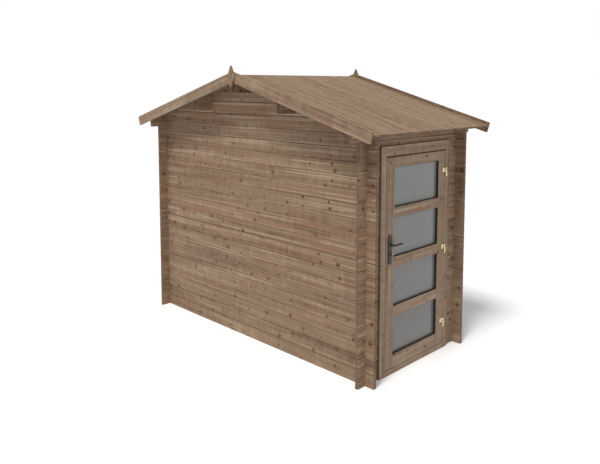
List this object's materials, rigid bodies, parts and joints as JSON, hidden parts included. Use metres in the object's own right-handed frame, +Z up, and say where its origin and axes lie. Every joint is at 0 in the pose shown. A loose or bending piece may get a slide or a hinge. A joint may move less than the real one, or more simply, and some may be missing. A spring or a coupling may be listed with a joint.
{
  "type": "garden shed",
  "caption": "Small log garden shed with interlocking corners, a two-slope boarded roof and one glazed door that swings outwards.",
  "frame": {"origin": "middle of the footprint, on the ground", "axes": "+Z up, -Y is the side with the door, +Y runs along the long gable walls to the back, +X to the right seen from the door side; the ridge runs along X"},
  "size_m": [1.7606, 3.2442, 2.5928],
  "materials": {
    "log_wood": "brown pressure-treated pine",
    "roof_wood": "lighter treated pine boards",
    "joinery": "planed treated pine",
    "floor_wood": "plain boards",
    "glass": "grey glass",
    "brass": "bright brass",
    "black": "satin black",
    "steel": "brushed"
  },
  "bodies": {
    "shed": {"back_purlin": "log_wood", "back_wall": "log_wood", "back_wall_plate": "log_wood", "bargeboard_left_back": "log_wood", "bargeboard_left_front": "log_wood", "bargeboard_right_back": "log_wood", "bargeboard_right_front": "log_wood", "finial_left": "log_wood", "finial_right": "log_wood", "floor_bearers": "floor_wood", "floor_boards": "floor_wood", "frame_head": "joinery", "frame_jamb_hinge_side": "joinery", "frame_jamb_lock_side": "joinery", "frame_sill": "joinery", "front_purlin": "log_wood", "front_wall_header": "log_wood", "front_wall_left": "log_wood", "front_wall_plate": "log_wood", "front_wall_right": "log_wood", "gable_wall_left": "log_wood", "gable_wall_right": "log_wood", "hinge_frame_halves": "brass", "ridge_purlin": "log_wood", "roof_back_slope": "roof_wood", "roof_front_slope": "roof_wood", "strike_plate": "steel"},
    "door": {"glass_panes": "glass", "glazing_beads": "joinery", "hinge_leaf_halves": "brass", "leaf_bottom_rail": "joinery", "leaf_mid_rail_1": "joinery", "leaf_mid_rail_2": "joinery", "leaf_mid_rail_3": "joinery", "leaf_stile_hinge_side": "joinery", "leaf_stile_lock_side": "joinery", "leaf_top_rail": "joinery", "lock_case": "steel", "lock_plate_inner": "black", "lock_plate_outer": "black"},
    "lever": {"lever_inner": "black", "lever_outer": "black", "lever_spindle": "black"}
  },
  "joints": [
    {"name": "door_hinge", "type": "hinge", "parent": "shed", "child": "door", "pos_m": [0.4325, -1.435, 0.94], "axis": [0, 0, 1], "range_deg": [0, 110]},
    {"name": "lever_turn", "type": "hinge", "parent": "door", "child": "lever", "pos_m": [-0.378, -1.435, 1.117], "axis": [0, 1, 0], "range_deg": [0, 40], "stiffness_Nm_per_rad": 1.5, "springref_deg": -20.05}
  ]
}
